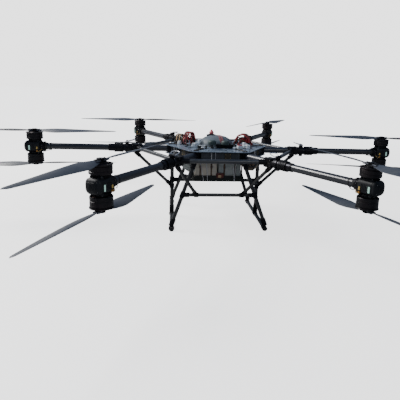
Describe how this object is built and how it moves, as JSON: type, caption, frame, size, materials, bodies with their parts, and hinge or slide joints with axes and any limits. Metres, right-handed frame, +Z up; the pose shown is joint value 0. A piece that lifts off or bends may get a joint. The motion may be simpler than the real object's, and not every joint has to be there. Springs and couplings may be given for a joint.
{
  "type": "hexacopter drone",
  "caption": "Heavy-lift hexacopter airframe with folding arms, stacked counter-turning motors and propellers at each arm end, truss skids and an underslung battery bay.",
  "frame": {"origin": "centre of the payload face, the flat underside of the battery tray; the arm axes lie 230 mm above it", "axes": "+Z up along the hub's axis; +X towards the right arm; -Y towards the front, midway between the two front arms"},
  "size_m": [4.1144, 3.6455, 0.7279],
  "materials": {
    "carbon_plate": "woven carbon under clear resin",
    "carbon_tube": "wrapped carbon tube, satin resin",
    "bare_tube": "lighter grey wrapped carbon tube",
    "black_anodised": "black anodised aluminium",
    "bright_metal": "bright steel and bare aluminium",
    "rubber": "moulded rubber",
    "battery_wrap": "pale shrink wrap",
    "black_plastic": "moulded black plastic",
    "grey_plastic": "moulded grey plastic",
    "red_insulation": "soft silicone insulation",
    "motor_paint": "satin black paint",
    "blade_carbon": "pressed carbon, satin"
  },
  "bodies": {
    "airframe": {"top_plate": "carbon_plate", "bottom_plate": "carbon_plate", "plate_fasteners": "bright_metal", "arm_root_clamps": "black_anodised", "inner_arm_tubes": "carbon_tube", "ring_tubes": "bare_tube", "fold_joint_blocks": "black_anodised", "hinge_pins": "bright_metal", "brace_struts": "carbon_tube", "skid_tubes": "carbon_tube", "skid_caps": "rubber", "gear_tubes": "carbon_tube", "gear_clamps": "black_anodised", "battery_packs": "battery_wrap", "battery_tray": "black_plastic", "avionics_units": "black_plastic", "avionics_cover": "grey_plastic", "power_leads": "red_insulation"},
    "arm_right": {"arm_right": "carbon_tube", "motor_pod_right": "black_plastic"},
    "sleeve_right": {"lock_sleeve_right": "black_anodised"},
    "rotor_top_right": {"bell_top_right": "motor_paint", "prop_top_right": "blade_carbon"},
    "rotor_bottom_right": {"bell_bottom_right": "motor_paint", "prop_bottom_right": "blade_carbon"},
    "arm_rear_right": {"arm_rear_right": "carbon_tube", "motor_pod_rear_right": "black_plastic"},
    "sleeve_rear_right": {"lock_sleeve_rear_right": "black_anodised"},
    "rotor_top_rear_right": {"bell_top_rear_right": "motor_paint", "prop_top_rear_right": "blade_carbon"},
    "rotor_bottom_rear_right": {"bell_bottom_rear_right": "motor_paint", "prop_bottom_rear_right": "blade_carbon"},
    "arm_rear_left": {"arm_rear_left": "carbon_tube", "motor_pod_rear_left": "black_plastic"},
    "sleeve_rear_left": {"lock_sleeve_rear_left": "black_anodised"},
    "rotor_top_rear_left": {"bell_top_rear_left": "motor_paint", "prop_top_rear_left": "blade_carbon"},
    "rotor_bottom_rear_left": {"bell_bottom_rear_left": "motor_paint", "prop_bottom_rear_left": "blade_carbon"},
    "arm_left": {"arm_left": "carbon_tube", "motor_pod_left": "black_plastic"},
    "sleeve_left": {"lock_sleeve_left": "black_anodised"},
    "rotor_top_left": {"bell_top_left": "motor_paint", "prop_top_left": "blade_carbon"},
    "rotor_bottom_left": {"bell_bottom_left": "motor_paint", "prop_bottom_left": "blade_carbon"},
    "arm_front_left": {"arm_front_left": "carbon_tube", "motor_pod_front_left": "black_plastic"},
    "sleeve_front_left": {"lock_sleeve_front_left": "black_anodised"},
    "rotor_top_front_left": {"bell_top_front_left": "motor_paint", "prop_top_front_left": "blade_carbon"},
    "rotor_bottom_front_left": {"bell_bottom_front_left": "motor_paint", "prop_bottom_front_left": "blade_carbon"},
    "arm_front_right": {"arm_front_right": "carbon_tube", "motor_pod_front_right": "black_plastic"},
    "sleeve_front_right": {"lock_sleeve_front_right": "black_anodised"},
    "rotor_top_front_right": {"bell_top_front_right": "motor_paint", "prop_top_front_right": "blade_carbon"},
    "rotor_bottom_front_right": {"bell_bottom_front_right": "motor_paint", "prop_bottom_front_right": "blade_carbon"}
  },
  "joints": [
    {"name": "fold_right", "type": "hinge", "parent": "airframe", "child": "arm_right", "pos_m": [0.725, 0, 0.278], "axis": [0, -1, 0], "range_deg": [0, 90]},
    {"name": "sleeve_slide_right", "type": "slide", "parent": "arm_right", "child": "sleeve_right", "axis": [1, 0, 0], "range_m": [0, 0.035]},
    {"name": "spin_top_right", "type": "hinge", "parent": "arm_right", "child": "rotor_top_right", "pos_m": [1.437, 0, 0.355], "axis": [0, 0, 1], "continuous": true},
    {"name": "spin_bottom_right", "type": "hinge", "parent": "arm_right", "child": "rotor_bottom_right", "pos_m": [1.437, 0, 0.093], "axis": [0, 0, 1], "continuous": true},
    {"name": "fold_rear_right", "type": "hinge", "parent": "airframe", "child": "arm_rear_right", "pos_m": [0.3625, 0.62787, 0.278], "axis": [0.866, -0.5, 0], "range_deg": [0, 90]},
    {"name": "sleeve_slide_rear_right", "type": "slide", "parent": "arm_rear_right", "child": "sleeve_rear_right", "axis": [0.5, 0.866, 0], "range_m": [0, 0.035]},
    {"name": "spin_top_rear_right", "type": "hinge", "parent": "arm_rear_right", "child": "rotor_top_rear_right", "pos_m": [0.7185, 1.24448, 0.355], "axis": [0, 0, 1], "continuous": true},
    {"name": "spin_bottom_rear_right", "type": "hinge", "parent": "arm_rear_right", "child": "rotor_bottom_rear_right", "pos_m": [0.7185, 1.24448, 0.093], "axis": [0, 0, 1], "continuous": true},
    {"name": "fold_rear_left", "type": "hinge", "parent": "airframe", "child": "arm_rear_left", "pos_m": [-0.3625, 0.62787, 0.278], "axis": [0.866, 0.5, 0], "range_deg": [0, 90]},
    {"name": "sleeve_slide_rear_left", "type": "slide", "parent": "arm_rear_left", "child": "sleeve_rear_left", "axis": [-0.5, 0.866, 0], "range_m": [0, 0.035]},
    {"name": "spin_top_rear_left", "type": "hinge", "parent": "arm_rear_left", "child": "rotor_top_rear_left", "pos_m": [-0.7185, 1.24448, 0.355], "axis": [0, 0, 1], "continuous": true},
    {"name": "spin_bottom_rear_left", "type": "hinge", "parent": "arm_rear_left", "child": "rotor_bottom_rear_left", "pos_m": [-0.7185, 1.24448, 0.093], "axis": [0, 0, 1], "continuous": true},
    {"name": "fold_left", "type": "hinge", "parent": "airframe", "child": "arm_left", "pos_m": [-0.725, 0, 0.278], "axis": [0, 1, 0], "range_deg": [0, 90]},
    {"name": "sleeve_slide_left", "type": "slide", "parent": "arm_left", "child": "sleeve_left", "axis": [-1, 0, 0], "range_m": [0, 0.035]},
    {"name": "spin_top_left", "type": "hinge", "parent": "arm_left", "child": "rotor_top_left", "pos_m": [-1.437, 0, 0.355], "axis": [0, 0, 1], "continuous": true},
    {"name": "spin_bottom_left", "type": "hinge", "parent": "arm_left", "child": "rotor_bottom_left", "pos_m": [-1.437, 0, 0.093], "axis": [0, 0, 1], "continuous": true},
    {"name": "fold_front_left", "type": "hinge", "parent": "airframe", "child": "arm_front_left", "pos_m": [-0.3625, -0.62787, 0.278], "axis": [-0.866, 0.5, 0], "range_deg": [0, 90]},
    {"name": "sleeve_slide_front_left", "type": "slide", "parent": "arm_front_left", "child": "sleeve_front_left", "axis": [-0.5, -0.866, 0], "range_m": [0, 0.035]},
    {"name": "spin_top_front_left", "type": "hinge", "parent": "arm_front_left", "child": "rotor_top_front_left", "pos_m": [-0.7185, -1.24448, 0.355], "axis": [0, 0, 1], "continuous": true},
    {"name": "spin_bottom_front_left", "type": "hinge", "parent": "arm_front_left", "child": "rotor_bottom_front_left", "pos_m": [-0.7185, -1.24448, 0.093], "axis": [0, 0, 1], "continuous": true},
    {"name": "fold_front_right", "type": "hinge", "parent": "airframe", "child": "arm_front_right", "pos_m": [0.3625, -0.62787, 0.278], "axis": [-0.866, -0.5, 0], "range_deg": [0, 90]},
    {"name": "sleeve_slide_front_right", "type": "slide", "parent": "arm_front_right", "child": "sleeve_front_right", "axis": [0.5, -0.866, 0], "range_m": [0, 0.035]},
    {"name": "spin_top_front_right", "type": "hinge", "parent": "arm_front_right", "child": "rotor_top_front_right", "pos_m": [0.7185, -1.24448, 0.355], "axis": [0, 0, 1], "continuous": true},
    {"name": "spin_bottom_front_right", "type": "hinge", "parent": "arm_front_right", "child": "rotor_bottom_front_right", "pos_m": [0.7185, -1.24448, 0.093], "axis": [0, 0, 1], "continuous": true}
  ]
}
